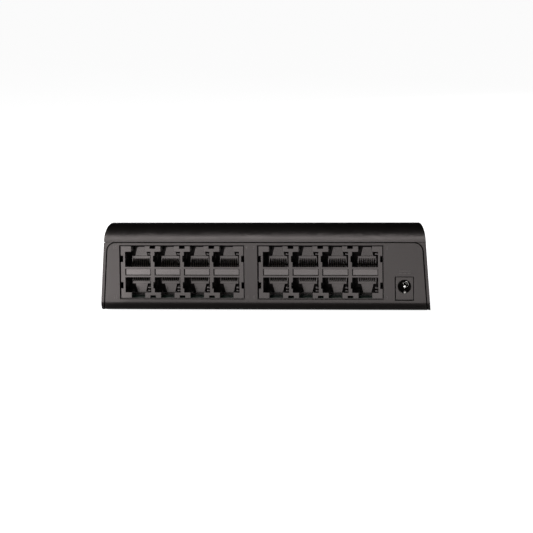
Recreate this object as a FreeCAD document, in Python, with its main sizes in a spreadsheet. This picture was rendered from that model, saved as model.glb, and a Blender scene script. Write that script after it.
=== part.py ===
import FreeCAD, Part
import math
import os
import re

import Sketcher

# Desktop network switch: sixteen stacked RJ45 ports and a DC inlet in a wedge-shaped plastic case.
# Millimetres. +Z up, +X to the right as seen facing the jacks, which look along -Y.
# The origin is under the middle of the case, on the surface that its feet stand on.

Vector = FreeCAD.Vector

# Each row: alias, value in millimetres (or a plain ratio), what it is.
SIZES = [
    ("case_depth", 105.0, "jack side to LED side"),
    ("case_half_width", 77.8, "half width at the foot of the jack side"),
    ("foot_height", 1.0, "rubber feet stand proud of the case by this"),
    ("ridge_height", 42.0, "highest line of the top cover"),
    ("roof_slope", 0.1405, "fall of the roof per mm towards the LED side"),
    ("side_lean", 0.0612, "lean-in of each side per mm of height"),
    ("plan_lean", 0.0787, "lean-in of each side per mm towards the LED side"),
    ("roll_reach", 6.0, "rear roll of the cover, front to back"),
    ("roll_drop", 9.0, "rear roll of the cover, top to bottom"),
    ("corner_reach", 3.0, "rounding along the roof's side edges, sideways"),
    ("corner_drop", 8.0, "rounding along the roof's side edges, downwards"),
    ("rear_heel", 4.5, "radius under the jack side"),
    ("front_heel", 4.0, "radius under the LED side"),
    ("front_brow", 5.0, "radius over the LED side"),
    ("wall", 2.0, "case wall"),
    ("seam_height", 33.4, "cover seam at the jack side"),
    ("seam_gap", 0.3, "gap at every case seam"),
    ("tongue_inset", 1.1, "base's lip inside the cover, from the outside"),
    ("tongue_height", 1.4, "base's lip above the seam"),
    ("tongue_slack", 0.1, "room round the base's lip"),
    ("corner_lip", 6.5, "base's lip round each jack-side corner, from the side"),
    ("step_inset", 0.45, "step that backs the seam, from the outside"),
    ("step_rise", 0.22, "step that backs the seam, above the base's edge"),
    ("rim_width", 1.6, "case edge showing beside the rear panel"),
    ("panel_corner", 4.2, "radius of the rear panel's upper corners"),
    ("panel_reach", 5.2, "how far the rear panel wraps under the case"),
    ("panel_edge", 0.4, "softened edge of the rear panel"),
    ("panel_recess", 0.25, "rear panel face behind the case edge"),
    ("ledge_gauge", 1.0, "rib behind the panel that hides the board's edge"),
    ("ledge_top", 6.75, "rib behind the panel that hides the board's edge"),
    ("left_block_x", -68.1, "left jack block, low side"),
    ("right_block_x", -2.8, "right jack block, low side"),
    ("block_low", 6.8, "underside of the jack blocks, on the board"),
    ("block_width", 58.2, "four-column jack block"),
    ("block_height", 24.5, "stacked jack block"),
    ("block_depth", 25.0, "jack block, front to back"),
    ("block_recess", 1.2, "jack faces behind the panel face"),
    ("block_gap", 0.5, "gap round each block in the panel"),
    ("block_wall", 1.2, "rear chamber wall of a block"),
    ("port_pitch", 13.97, "column pitch of the ports"),
    ("port_count", 4, "columns in a block"),
    ("port_width", 12.2, "plug opening"),
    ("port_height", 7.15, "plug opening"),
    ("port_inset", 2.65, "plug opening to the block's edge"),
    ("port_depth", 12.5, "plug opening, front to back"),
    ("latch_width", 6.4, "latch notch"),
    ("spacer_height", 3.1, "bar between upper and lower port"),
    ("spacer_recess", 0.9, "bar face behind the jack face"),
    ("spacer_depth", 1.6, "bar thickness"),
    ("spacer_gap", 0.3, "gap at each end of a bar"),
    ("relief_width", 2.6, "edge recess over each divider"),
    ("relief_height", 1.2, "edge recess over each divider"),
    ("relief_depth", 11.5, "edge recess over each divider"),
    ("slot_width", 1.1, "side slot of a block"),
    ("slot_height", 2.9, "side slot of a block"),
    ("slot_middle", 6.0, "side slot centre to the block's edge"),
    ("notch_width", 0.7, "wall notch inside a port"),
    ("rib_width", 1.5, "guide ribs on a port's right wall"),
    ("rib_height", 0.6, "guide ribs on a port's right wall"),
    ("rib_depth", 9.0, "guide ribs on a port's right wall"),
    ("carrier_width", 8.6, "contact carrier strip"),
    ("carrier_low", 2.95, "carrier strip above the contact wall"),
    ("carrier_height", 1.2, "contact carrier strip"),
    ("insert_setback", 4.5, "insert's wall behind the port's end"),
    ("carrier_reach", 7.1, "carrier strip out of the insert"),
    ("guide_reach", 6.5, "latch guide out of the insert"),
    ("guide_root", 5.9, "latch guide width beside the carrier"),
    ("guide_tip", 3.9, "latch guide width at the block's edge"),
    ("guide_height", 4.2, "latch guide height"),
    ("wire_count", 8, "contacts in a port"),
    ("wire_pitch", 1.02, "contact pitch"),
    ("wire_width", 0.46, "contact width"),
    ("wire_gauge", 0.25, "contact thickness"),
    ("wire_front", 5.0, "contact root behind the jack face"),
    ("wire_back", 9.8, "contact tip behind the jack face"),
    ("wire_root", -0.3, "contact root above the contact wall"),
    ("wire_tip", 2.75, "contact tip above the contact wall"),
    ("groove_front", 4.7, "groove for the contact roots behind the jack face"),
    ("groove_reach", 2.4, "groove for the contact roots, front to back"),
    ("groove_depth", 0.6, "groove for the contact roots"),
    ("pin_size", 0.5, "square solder pin"),
    ("pin_length", 3.0, "solder pin below the jack block"),
    ("pin_pitch", 2.54, "solder pin rows"),
    ("inlet_x", 65.6, "DC inlet centre"),
    ("inlet_z", 12.5, "DC inlet centre"),
    ("inlet_width", 8.9, "DC inlet recess in the panel"),
    ("inlet_low", 5.9, "DC inlet recess in the panel"),
    ("inlet_top", 17.2, "DC inlet recess in the panel"),
    ("inlet_gap", 0.35, "gap round the DC inlet"),
    ("inlet_recess", 0.8, "DC inlet face behind the panel face"),
    ("inlet_depth", 14.0, "DC inlet, front to back"),
    ("inlet_bore", 6.3, "DC plug hole"),
    ("inlet_bore_depth", 9.5, "DC plug hole"),
    ("centre_pin", 2.0, "DC centre pin diameter"),
    ("centre_pin_length", 8.6, "DC centre pin"),
    ("pin_tail", 0.8, "radius of the DC pin's end in the housing"),
    ("neck_length", 1.3, "thinner end of the DC pin inside its ring contact"),
    ("ring_outer", 1.4, "radius of the DC ring contact round the pin"),
    ("ring_inner", 1.15, "radius of the DC ring contact round the pin"),
    ("ring_length", 1.2, "DC ring contact, front to back"),
    ("leaf_width", 1.2, "DC leaf spring"),
    ("leaf_gauge", 0.3, "DC leaf spring"),
    ("board_top", 6.8, "upper face of the main board"),
    ("board_gauge", 1.6, "main board"),
    ("board_back", 49.0, "main board's jack edge from the middle"),
    ("board_front", 43.0, "main board's LED edge from the middle"),
    ("board_wide", 72.0, "half width at the jack edge"),
    ("board_narrow", 64.0, "half width at the LED edge"),
    ("post_radius", 3.5, "case screw post"),
    ("post_split", 14.2, "where base post and cover post meet"),
    ("rear_post_x", 65.8, "case screw"),
    ("rear_post_y", -2.0, "case screw"),
    ("front_post_x", 59.5, "case screw"),
    ("front_post_y", 38.0, "case screw"),
    ("screw_shank", 1.4, "case screw shank radius"),
    ("screw_head", 2.7, "case screw head radius"),
    ("screw_well", 3.1, "well radius under each post"),
    ("well_depth", 4.5, "well depth under each post"),
    ("foot_radius", 5.5, "rubber foot"),
    ("foot_sunk", 0.6, "foot recess in the case"),
    ("rear_foot_x", 60.0, "rubber foot"),
    ("rear_foot_y", -32.0, "rubber foot"),
    ("front_foot_x", 55.0, "rubber foot"),
    ("front_foot_y", 27.0, "rubber foot"),
    ("window_half", 51.5, "LED window half width"),
    ("window_low", 8.4, "LED window"),
    ("window_height", 5.0, "LED window"),
    ("light_count", 17, "sixteen ports and power"),
    ("light_pitch", 6.0, "LED pitch"),
    ("keyhole_half", 35.0, "wall-mount keyholes from the middle"),
    ("keyhole_head", 3.6, "keyhole head radius"),
    ("keyhole_neck", 1.9, "keyhole neck radius"),
    ("keyhole_run", 6.5, "keyhole head to neck"),
    ("vent_width", 1.6, "vent slot"),
    ("vent_pitch", 4.0, "vent slots"),
    ("side_vent_reach", 11.5, "how far a side vent cuts in from the widest line"),
]


doc = FreeCAD.newDocument("desktop_network_switch")
sheet = doc.addObject("Spreadsheet::Sheet", "Sizes")
for row, (alias, value, meaning) in enumerate(SIZES, start=1):
    sheet.set(f"A{row}", meaning)
    sheet.set(f"B{row}", str(value))
    sheet.setAlias(f"B{row}", alias)
doc.recompute()

parts = {}


def size(alias):
    """A driving size, read from the sheet."""
    return float(sheet.get(alias))


def drive(thing, path, rule):
    """Binds one property to a rule on the sheet's aliases."""
    thing.setExpression(path, re.sub(r"[a-z]\w+", lambda word: "Sizes." + word.group(), str(rule)))


def place(thing, x, y, z):
    """Binds the low corner or centre of a piece to the sheet."""
    for axis, rule in (("x", x), ("y", y), ("z", z)):
        drive(thing, "Placement.Base." + axis, rule)
    return thing


def block(name, low, length, width, height):
    """Box with its low corner and its three sizes on the sheet."""
    box = doc.addObject("Part::Box", name)
    drive(box, "Length", length)
    drive(box, "Width", width)
    drive(box, "Height", height)
    return place(box, *low)


def rod(name, centre, radius, length, turn=None):
    """Cylinder that stands up, or lies along +Y when turn is 'back'."""
    cylinder = doc.addObject("Part::Cylinder", name)
    if turn == "back":
        cylinder.Placement.Rotation = FreeCAD.Rotation(Vector(1, 0, 0), -90)
    drive(cylinder, "Radius", radius)
    drive(cylinder, "Height", length)
    return place(cylinder, *centre)


def cone(name, centre, low_radius, high_radius, length):
    """Upright cone frustum."""
    frustum = doc.addObject("Part::Cone", name)
    drive(frustum, "Radius1", low_radius)
    drive(frustum, "Radius2", high_radius)
    drive(frustum, "Height", length)
    return place(frustum, *centre)


def joined(name, pieces):
    """Pieces fused into one solid."""
    fusion = doc.addObject("Part::MultiFuse", name)
    fusion.Shapes = pieces
    return fusion


def less(name, base, tools):
    """A piece with tools cut out of it."""
    cut = doc.addObject("Part::Cut", name)
    cut.Base = base
    cut.Tool = tools[0] if len(tools) == 1 else group(name + "_tools", tools)
    return cut


def group(name, pieces):
    """Like pieces kept as separate solids of one node."""
    compound = doc.addObject("Part::Compound", name)
    compound.Links = pieces
    return compound


def fixed(name, shape):
    """A shape worked out from the sheet by Part's own functions."""
    feature = doc.addObject("Part::Feature", name)
    feature.Shape = shape
    return feature


def keep(label, thing):
    """Marks a finished sub-part and gives it its node name."""
    thing.Label = label
    parts[label] = thing
    return thing


# Sketch and feature helpers for the moulded pieces that are built as bodies.


def new_body(name):
    return doc.addObject("PartDesign::Body", name)


def sketch_on(body, name, role, offset):
    """Sketch on one of the body's own origin planes, moved along the plane's normal."""
    sketch = body.newObject("Sketcher::SketchObject", name)
    plane = next(item for item in body.Origin.OriginFeatures if item.Role == role)
    sketch.AttachmentSupport = (plane, [""])
    sketch.MapMode = "FlatFace"
    drive(sketch, "AttachmentOffset.Base.z", offset)
    return sketch


def held(sketch, kind, ends, rule):
    """Adds one dimension and binds it to the sheet."""
    text = re.sub(r"[a-z]\w+", lambda word: "Sizes." + word.group(), str(rule))
    value = float(sketch.evalExpression(text))
    number = sketch.addConstraint(Sketcher.Constraint(kind, *ends, value))
    sketch.setExpression(f"Constraints[{number}]", text)
    return value


def rectangle(sketch, low_u, low_v, width, height):
    """Rectangle dimensioned by its low corner and its sides."""
    corner = []
    for rule in (low_u, low_v, width, height):
        text = re.sub(r"[a-z]\w+", lambda word: "Sizes." + word.group(), str(rule))
        corner.append(float(sketch.evalExpression(text)))
    u, v, w, h = corner
    outline = [Vector(u, v), Vector(u + w, v), Vector(u + w, v + h), Vector(u, v + h)]
    first = sketch.GeometryCount
    for index in range(4):
        sketch.addGeometry(Part.LineSegment(outline[index], outline[(index + 1) % 4]))
    for index in range(4):
        after = first + (index + 1) % 4
        sketch.addConstraint(Sketcher.Constraint("Coincident", first + index, 2, after, 1))
    for index in (0, 2):
        sketch.addConstraint(Sketcher.Constraint("Horizontal", first + index))
    for index in (1, 3):
        sketch.addConstraint(Sketcher.Constraint("Vertical", first + index))
    held(sketch, "DistanceX", (-1, 1, first, 1), low_u)
    held(sketch, "DistanceY", (-1, 1, first, 1), low_v)
    held(sketch, "DistanceX", (first, 1, first, 2), width)
    held(sketch, "DistanceY", (first + 1, 1, first + 1, 2), height)


def outline(sketch, points):
    """Closed outline through points given in the sketch's own plane."""
    first = sketch.GeometryCount
    count = len(points)
    for index in range(count):
        start = Vector(*points[index])
        end = Vector(*points[(index + 1) % count])
        sketch.addGeometry(Part.LineSegment(start, end))
    for index in range(count):
        after = first + (index + 1) % count
        sketch.addConstraint(Sketcher.Constraint("Coincident", first + index, 2, after, 1))
        sketch.addConstraint(Sketcher.Constraint("Block", first + index))


def feature(body, kind, name, sketch, length, reverse=False):
    """Pad or Pocket of a sketch by a length on the sheet."""
    item = body.newObject("PartDesign::" + kind, name)
    item.Profile = sketch
    item.Reversed = reverse
    drive(item, "Length", length)
    sketch.Visibility = False
    body.Tip = item
    return item


def along_x(body, name, features, length, count):
    """Repeats features along the body's X axis."""
    pattern = body.newObject("PartDesign::LinearPattern", name)
    pattern.Originals = features
    axis = next(item for item in body.Origin.OriginFeatures if item.Role == "X_Axis")
    pattern.Direction = (axis, [""])
    drive(pattern, "Length", length)
    drive(pattern, "Occurrences", count)
    body.Tip = pattern
    return pattern


# ---- Case form: a wedge that leans in on both sides, with a rolled rear edge ----

BACK = -size("case_depth") / 2
FRONT = size("case_depth") / 2
ROLL_Y = BACK + size("roll_reach")
ROLL_Z = size("ridge_height") - size("roll_drop")
OVERRUN = 2.0
BLEND = 0.01
CIRCLE_PULL = 0.5523


def roof_height(y, inset):
    """Height of the roof over y, for the outside or for the inside of a wall."""
    reach = size("roll_reach") - inset
    drop = size("roll_drop") - inset
    turn = math.atan(size("roof_slope") * reach / drop)
    start = ROLL_Y + reach * math.sin(turn)
    return ROLL_Z + drop * math.cos(turn) - size("roof_slope") * (y - start)


def half_width(y, z, inset):
    """Half width of the case at a place on its side."""
    lean_up = size("side_lean") * (z - size("foot_height"))
    lean_back = size("plan_lean") * (y - BACK)
    return size("case_half_width") - lean_up - lean_back - inset


def cross_section(y, inset):
    """Upright outline across the case: leaning sides and rounded upper corners."""
    low = size("foot_height") - OVERRUN
    top = roof_height(y, inset) + BLEND
    shoulder = top - (size("corner_drop") - inset)
    reach = size("corner_reach") - inset
    foot = half_width(y, low, inset)
    side = half_width(y, shoulder, inset)
    tip = half_width(y, top, inset)
    right = Part.BezierCurve()
    left = Part.BezierCurve()
    poles = [(side, shoulder), (tip, top), (tip, top), (tip - reach, top)]
    for near, far in ((1, 0), (2, 3)):
        u = poles[far][0] + CIRCLE_PULL * (tip - poles[far][0])
        v = poles[far][1] + CIRCLE_PULL * (top - poles[far][1])
        poles[near] = (u, v)
    right.setPoles([Vector(u, y, v) for u, v in poles])
    left.setPoles([Vector(-u, y, v) for u, v in reversed(poles)])
    edges = [
        Part.makeLine(Vector(-foot, y, low), Vector(foot, y, low)),
        Part.makeLine(Vector(foot, y, low), Vector(side, y, shoulder)),
        right.toShape(),
        Part.makeLine(Vector(tip - reach, y, top), Vector(reach - tip, y, top)),
        left.toShape(),
        Part.makeLine(Vector(-side, y, shoulder), Vector(-foot, y, low)),
    ]
    return Part.Wire(edges)


def side_profile(inset):
    """Prism of the case seen from its side: rolled rear, sloping roof, softened front."""
    low = size("foot_height") + inset
    reach = size("roll_reach") - inset
    drop = size("roll_drop") - inset
    turn = math.atan(size("roof_slope") * reach / drop)
    centre = Vector(0, ROLL_Y, ROLL_Z)
    roll = Part.Ellipse(centre + Vector(0, 0, drop), centre - Vector(0, reach, 0), centre)
    arc = roll.toShape(-turn, math.pi / 2)
    front = FRONT - inset
    rear = BACK + inset
    crest = Vector(0, ROLL_Y + reach * math.sin(turn), ROLL_Z + drop * math.cos(turn))
    brow = Vector(0, front, roof_height(front, inset))
    edges = [
        arc,
        Part.makeLine(Vector(0, rear, ROLL_Z), Vector(0, rear, low)),
        Part.makeLine(Vector(0, rear, low), Vector(0, front, low)),
        Part.makeLine(Vector(0, front, low), brow),
        Part.makeLine(brow, crest),
    ]
    span = 2 * size("case_half_width")
    face = Part.Face(Part.Wire(Part.__sortEdges__(edges)))
    prism = face.extrude(Vector(2 * span, 0, 0))
    prism.translate(Vector(-span, 0, 0))
    for y, z, radius in (
        (rear, low, size("rear_heel")),
        (front, low, size("front_heel")),
        (front, brow.z, size("front_brow")),
    ):
        edge = [
            item
            for item in prism.Edges
            if item.BoundBox.XLength > span
            and abs(item.CenterOfMass.y - y) < BLEND
            and abs(item.CenterOfMass.z - z) < BLEND
        ]
        prism = prism.makeFillet(radius - inset, edge)
    return prism


def case_form(inset):
    """The whole case as one solid, drawn in by inset."""
    wires = [cross_section(BACK - OVERRUN, inset), cross_section(FRONT + OVERRUN, inset)]
    wedge = Part.makeLoft(wires, True, True)
    return wedge.common(side_profile(inset))


def below_seam(gap):
    """Everything under the cover seam, which falls forward with the roof."""
    span = 2 * size("case_half_width")
    start = BACK - OVERRUN
    stop = FRONT + OVERRUN
    rise = size("seam_height") - gap
    slope = size("roof_slope")
    corners = [
        Vector(-span, start, -OVERRUN),
        Vector(-span, start, rise - slope * (start - BACK)),
        Vector(-span, stop, rise - slope * (stop - BACK)),
        Vector(-span, stop, -OVERRUN),
    ]
    face = Part.Face(Part.makePolygon(corners + corners[:1]))
    return face.extrude(Vector(2 * span, 0, 0))


def panel_outline(grow):
    """Prism of the rear panel's outline: leaning sides and rounded upper corners."""
    edge = size("rim_width") - grow
    low = -OVERRUN
    top = size("seam_height") - size("seam_gap") + grow
    foot = half_width(BACK, low, edge)
    tip = half_width(BACK, top, edge)
    corners = [Vector(x, 0, z) for x, z in ((-foot, low), (foot, low), (tip, top), (-tip, top))]
    prism = Part.Face(Part.makePolygon(corners + corners[:1])).extrude(Vector(0, size("panel_reach"), 0))
    upper = [
        item
        for item in prism.Edges
        if item.BoundBox.YLength > 1 and item.CenterOfMass.z > top - BLEND
    ]
    prism = prism.makeFillet(size("panel_corner") + grow, upper)
    prism.translate(Vector(0, BACK, 0))
    return prism


outside = case_form(0)
inside = case_form(size("wall"))
shell = outside.cut(inside)
room = fixed("room", inside)


def build_rear_panel():
    """Insert that carries the jack openings, with a rolled lower edge."""
    skin = shell.common(panel_outline(0))
    rim = [
        item
        for item in skin.Edges
        if abs(item.BoundBox.YMin - BACK) < BLEND
        and item.BoundBox.YLength < BLEND
        and item.CenterOfMass.z > size("rear_heel") + size("foot_height")
    ]
    skin = skin.makeFillet(size("panel_edge"), rim)
    skin.translate(Vector(0, size("panel_recess"), 0))
    gap = "block_gap"
    cuts = [
        block(
            side + "_block_opening",
            (f"{side}_block_x - {gap}", "-case_depth / 2 - wall", f"block_low - {gap}"),
            f"block_width + 2 * {gap}",
            "3 * wall",
            f"block_height + 2 * {gap}",
        )
        for side in ("left", "right")
    ]
    cuts.append(
        block(
            "inlet_opening",
            ("inlet_x - inlet_width / 2", "-case_depth / 2 - wall", "inlet_low"),
            "inlet_width",
            "3 * wall",
            "inlet_top - inlet_low",
        )
    )
    plate = less("panel_plate", fixed("panel_skin", skin), cuts)
    ledge = block(
        "panel_ledge",
        ("left_block_x - 1", "panel_recess + wall - case_depth / 2 - 0.1", "foot_height + wall / 2"),
        "right_block_x + block_width - left_block_x + 2",
        "ledge_gauge + 0.1",
        "ledge_top - foot_height - wall / 2",
    )
    keep("rear_panel", joined("rear_panel_body", [plate, ledge]))


POSTS = [
    (side, end, f"{sign}{end}_post_x", f"{end}_post_y")
    for end in ("rear", "front")
    for side, sign in (("left", "-"), ("right", ""))
]


def tongue(slack):
    """Lip along the inside of the wall that stands up from the base into the cover."""
    lip = case_form(size("tongue_inset") - slack).cut(inside)
    band = below_seam(-size("tongue_height") - slack).cut(below_seam(size("seam_gap") + size("wall")))
    return lip.common(band)


def seam_step():
    """Low step behind the seam that leaves only a shallow groove open."""
    step = case_form(size("step_inset")).cut(inside)
    band = below_seam(size("seam_gap") - size("step_rise")).cut(below_seam(size("seam_gap") + size("wall")))
    return step.common(band)


def tongue_break():
    """Keeps the lip off the jack side between its corners, where the rear panel meets the cover."""
    reach = size("roll_reach") + size("wall")
    span = size("case_half_width") - size("corner_lip")
    brick = Part.makeBox(2 * span, reach, 2 * size("tongue_height"))
    brick.translate(Vector(-span, BACK, size("seam_height") - size("seam_gap")))
    return brick


def build_top_cover():
    """Hood over the whole case, with a screw post in each corner."""
    hood = fixed("hood", shell.cut(below_seam(0)).cut(tongue(size("tongue_slack"))))
    adds = [hood]
    holes = []
    for side, end, x, y in POSTS:
        name = f"cover_post_{end}_{side}"
        column = rod(name, (x, y, "post_split"), "post_radius", "ridge_height")
        inner = doc.addObject("Part::Common", name + "_inside")
        inner.Base = column
        inner.Tool = room
        adds.append(inner)
        holes.append(rod(name + "_hole", (x, y, "post_split - 1"), "screw_shank", "10"))
    keep("top_cover", less("top_cover_body", joined("hood_with_posts", adds), holes))


BOARD_SCREWS = [
    ("left_rear", "-66", "-23.4"),
    ("right_rear", "58.6", "-23.4"),
    ("left_front", "-45", "28"),
    ("right_front", "45", "28"),
]


def keyhole(name, x):
    """Wall-mount keyhole: a round head hole and a narrower neck behind it."""
    head = rod(name + "_head", (x, "0", "-1"), "keyhole_head", "2 * wall + 1")
    neck = rod(name + "_neck", (x, "keyhole_run", "-1"), "keyhole_neck", "2 * wall + 1")
    run = block(
        name + "_run", (f"{x} - keyhole_neck", "0", "-1"), "2 * keyhole_neck", "keyhole_run", "2 * wall + 1"
    )
    return [head, neck, run]


def build_base_case():
    """Lower shell: floor, sides and LED side, with posts, bosses, vents and keyholes."""
    opening = panel_outline(size("seam_gap"))
    opening.translate(Vector(0, size("seam_gap") + size("panel_recess"), 0))
    opening = opening.fuse(panel_outline(size("seam_gap")))
    lips = [tongue(0), seam_step()]
    tray = shell.common(below_seam(size("seam_gap"))).fuse(lips).removeSplitter()
    adds = [fixed("tray", tray.cut(opening).cut(tongue_break()))]
    holes = []
    floor = "foot_height + wall"
    for side, end, x, y in POSTS:
        name = f"base_post_{end}_{side}"
        adds.append(rod(name, (x, y, "foot_height + wall / 2"), "post_radius + 0.6", "post_split - 2.2"))
        holes.append(rod(name + "_well", (x, y, "0"), "screw_well", "foot_height + well_depth"))
        holes.append(rod(name + "_hole", (x, y, "0"), "screw_shank + 0.3", "post_split + 1"))
    for name, x, y in BOARD_SCREWS:
        adds.append(rod("boss_" + name, (x, y, "foot_height + wall / 2"), "2.8", "board_top - board_gauge - 2"))
        holes.append(rod("boss_hole_" + name, (x, y, "foot_height + wall / 2"), "0.9", "4"))
    holes.append(
        block(
            "window_opening",
            ("-window_half", "case_depth / 2 - 2 * wall", "window_low"),
            "2 * window_half",
            "3 * wall",
            "window_height",
        )
    )
    for end in ("rear", "front"):
        for side, sign in (("left", "-"), ("right", "")):
            name = f"foot_seat_{end}_{side}"
            spot = (f"{sign}{end}_foot_x", f"{end}_foot_y", "0")
            holes.append(rod(name, spot, "foot_radius + 0.2", "foot_height + foot_sunk"))
    for side, sign in (("left", "-"), ("right", "")):
        holes.extend(keyhole("keyhole_" + side, f"{sign}keyhole_half"))
    for index in range(9):
        spot = (f"{index - 4} * vent_pitch - vent_width / 2", "-2", "0")
        holes.append(block(f"floor_vent_{index}", spot, "vent_width", "22", floor + " + 1"))
    for side, low in (("left", "-case_half_width"), ("right", "case_half_width - side_vent_reach")):
        for index in range(8):
            spot = (low, f"6 + {index} * vent_pitch", "9")
            holes.append(block(f"{side}_vent_{index}", spot, "side_vent_reach", "vent_width", "7"))
    keep("base_case", less("base_case_body", joined("tray_with_posts", adds), holes))


# ---- Jack blocks ----

SIDES = ("left", "right")


def block_corner(side):
    """Low front corner of a jack block, as sheet rules."""
    return (f"{side}_block_x", "-case_depth / 2 + block_recess", "block_low")


FIRST_PORT = "(block_width - (port_count - 1) * port_pitch) / 2"
FAR_EDGE = "block_height - port_inset - port_height"


def build_jack_housing(side):
    """Moulded egg-crate: eight plug openings with latch notches, open into a rear chamber."""
    body = new_body(side + "_housing")
    whole = sketch_on(body, side + "_block", "XZ_Plane", 0)
    rectangle(whole, 0, 0, "block_width", "block_height")
    feature(body, "Pad", side + "_solid", whole, "block_depth", True)

    ports = sketch_on(body, side + "_ports", "XZ_Plane", 0)
    low_u = f"{FIRST_PORT} - port_width / 2"
    rectangle(ports, low_u, "port_inset", "port_width", "port_height")
    rectangle(ports, low_u, FAR_EDGE, "port_width", "port_height")
    repeated = [feature(body, "Pocket", side + "_port_cut", ports, "port_depth + 1")]

    latches = sketch_on(body, side + "_latches", "XZ_Plane", 0)
    latch_u = f"{FIRST_PORT} - latch_width / 2"
    rectangle(latches, latch_u, -1, "latch_width", "port_inset + 1.5")
    rectangle(latches, latch_u, "block_height - port_inset - 0.5", "latch_width", "port_inset + 1.5")
    repeated.append(feature(body, "Pocket", side + "_latch_cut", latches, "port_depth + 1"))

    bars = sketch_on(body, side + "_bars", "XZ_Plane", 0)
    rectangle(bars, low_u, "(block_height - spacer_height) / 2", "port_width", "spacer_height")
    repeated.append(feature(body, "Pocket", side + "_bar_cut", bars, "spacer_recess + spacer_depth"))
    along_x(body, side + "_columns", repeated, "(port_count - 1) * port_pitch", "port_count")

    reliefs = sketch_on(body, side + "_reliefs", "XZ_Plane", 0)
    relief_u = f"{FIRST_PORT} + port_pitch / 2 - relief_width / 2"
    rectangle(reliefs, relief_u, -1, "relief_width", "relief_height + 1")
    rectangle(reliefs, relief_u, "block_height - relief_height", "relief_width", "relief_height + 1")
    relief = feature(body, "Pocket", side + "_relief_cut", reliefs, "relief_depth")
    notches = sketch_on(body, side + "_notches", "XZ_Plane", 0)
    notch_u = f"{FIRST_PORT} + port_pitch - port_width / 2 - notch_width"
    for middle in ("slot_middle", "block_height - slot_middle"):
        rectangle(notches, notch_u, f"{middle} - slot_height / 2", "notch_width + 0.5", "slot_height")
    notch = feature(body, "Pocket", side + "_notch_cut", notches, "port_depth + 1")
    along_x(body, side + "_dividers", [relief, notch], "(port_count - 2) * port_pitch", "port_count - 1")

    slots = sketch_on(body, side + "_slots", "XZ_Plane", 0)
    for middle in ("slot_middle", "block_height - slot_middle"):
        rectangle(slots, -1, f"{middle} - slot_height / 2", "slot_width + 1", "slot_height")
        rectangle(slots, "block_width - slot_width", f"{middle} - slot_height / 2", "slot_width + 1", "slot_height")
    feature(body, "Pocket", side + "_slot_cut", slots, "relief_depth")

    chamber = sketch_on(body, side + "_chamber", "XZ_Plane", "-block_depth")
    rectangle(chamber, "block_wall", "block_wall", "block_width - 2 * block_wall", "block_height - 2 * block_wall")
    feature(body, "Pocket", side + "_chamber_cut", chamber, "block_depth - port_depth", True)

    roots = sketch_on(body, side + "_roots", "XZ_Plane", "-groove_front")
    root_u = f"{FIRST_PORT} - carrier_width / 2"
    rectangle(roots, root_u, "port_inset + port_height - 1", "carrier_width", "groove_depth + 1")
    rectangle(roots, root_u, FAR_EDGE + " - groove_depth", "carrier_width", "groove_depth + 1")
    grooves = feature(body, "Pocket", side + "_root_grooves", roots, "groove_reach")
    ribs = sketch_on(body, side + "_ribs", "XZ_Plane", "-1.0")
    rib_u = f"{FIRST_PORT} + port_width / 2 - rib_width"
    for low in ("port_inset + 0.5", "port_inset + 1.9"):
        rectangle(ribs, rib_u, low, "rib_width + 0.2", "rib_height")
    rectangle(ribs, rib_u, "block_height - port_inset - 1.4", "rib_width + 0.2", "rib_height")
    guides = feature(body, "Pad", side + "_rib_pad", ribs, "rib_depth", True)
    along_x(body, side + "_linings", [grooves, guides], "(port_count - 1) * port_pitch", "port_count")
    place(body, *block_corner(side))
    keep(f"jack_block_{side}_housing", body)


def latch_guide(name, x, y, z, upward):
    """Tapering wall behind the latch notch."""
    wedge = doc.addObject("Part::Wedge", name)
    turn = 90 if upward else -90
    wedge.Placement.Rotation = FreeCAD.Rotation(Vector(1, 0, 0), turn)
    for path, rule in (
        ("Xmin", "-guide_root / 2"),
        ("Xmax", "guide_root / 2"),
        ("X2min", "-guide_tip / 2"),
        ("X2max", "guide_tip / 2"),
        ("Ymin", "0"),
        ("Ymax", "guide_height"),
        ("Zmin", "0"),
        ("Zmax", "guide_reach"),
        ("Z2min", "0"),
        ("Z2max", "guide_reach"),
    ):
        drive(wedge, path, rule)
    return place(wedge, x, y, z)


def build_jack_inserts(side):
    """One contact insert per column, pushed into the chamber from behind."""
    x0, y0, z0 = block_corner(side)
    inserts = []
    bars = []
    gap = "0.1"
    wall = "port_depth + insert_setback"
    for column in range(int(size("port_count"))):
        name = f"{side}_insert_{column}"
        middle = f"({x0} + {FIRST_PORT} + {column} * port_pitch)"
        body = block(
            name + "_body",
            (f"{middle} - port_pitch / 2 + {gap}", f"{y0} + {wall}", f"{z0} + block_wall"),
            f"port_pitch - 2 * {gap}",
            "block_depth - port_depth - insert_setback - 0.5",
            "block_height - 2 * block_wall",
        )
        pieces = [body]
        for level, edge, way in (
            ("lower", "port_inset + port_height", "-"),
            ("upper", FAR_EDGE, "+"),
        ):
            start = f"({z0} + {edge} {way} carrier_low)"
            low = start if way == "+" else f"{start} - carrier_height"
            strip = block(
                f"{name}_{level}_strip",
                (f"{middle} - carrier_width / 2", f"{y0} + {wall} - carrier_reach", low),
                "carrier_width",
                "carrier_reach",
                "carrier_height",
            )
            root = f"{start} {way} carrier_height"
            if way == "+":
                guide_y = f"{y0} + {wall}"
            else:
                guide_y = f"{y0} + {wall} - guide_reach"
            guide = latch_guide(f"{name}_{level}_guide", middle, guide_y, root, way == "+")
            pieces.extend([strip, guide])
        inserts.append(joined(name, pieces))
        bars.append(
            block(
                f"{side}_bar_{column}",
                (
                    f"{middle} - port_width / 2 + spacer_gap",
                    f"{y0} + spacer_recess",
                    f"{z0} + (block_height - spacer_height) / 2 + {gap}",
                ),
                "port_width - 2 * spacer_gap",
                "spacer_depth",
                f"spacer_height - 2 * {gap}",
            )
        )
    keep(f"jack_block_{side}_inserts", group(side + "_inserts", inserts))
    keep(f"jack_block_{side}_spacers", group(side + "_spacers", bars))


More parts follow.
